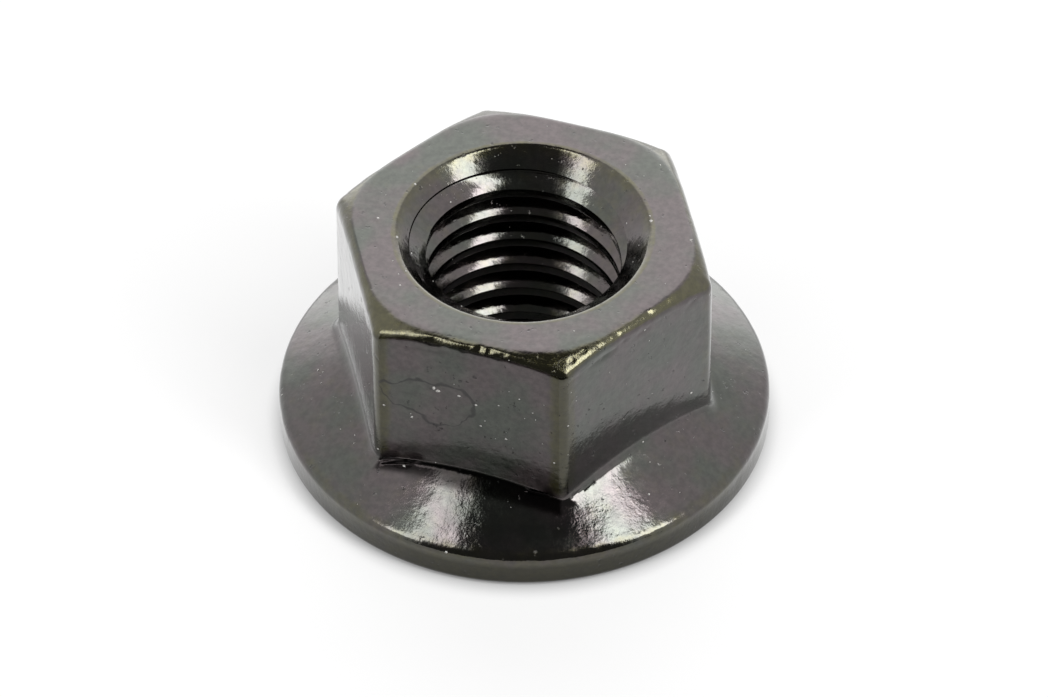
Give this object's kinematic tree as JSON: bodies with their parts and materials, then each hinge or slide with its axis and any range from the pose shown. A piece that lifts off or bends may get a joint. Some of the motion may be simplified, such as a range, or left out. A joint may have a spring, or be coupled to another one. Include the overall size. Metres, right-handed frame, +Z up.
{
  "type": "flange nut",
  "caption": "Hexagon flange nut: six flats blended into a conical flange, corners cut back by a crown cone, countersunk threaded hole, black finish.",
  "frame": {"origin": "centre of the bearing face, the flat underside of the flange", "axes": "+Z up the thread's axis from the bearing face to the crown; two opposite flats face -Y and +Y"},
  "size_m": [0.0216, 0.0216, 0.0109],
  "materials": {
    "black_steel": "gloss"
  },
  "bodies": {
    "root": {"flange_nut": "black_steel"}
  },
  "joints": []
}
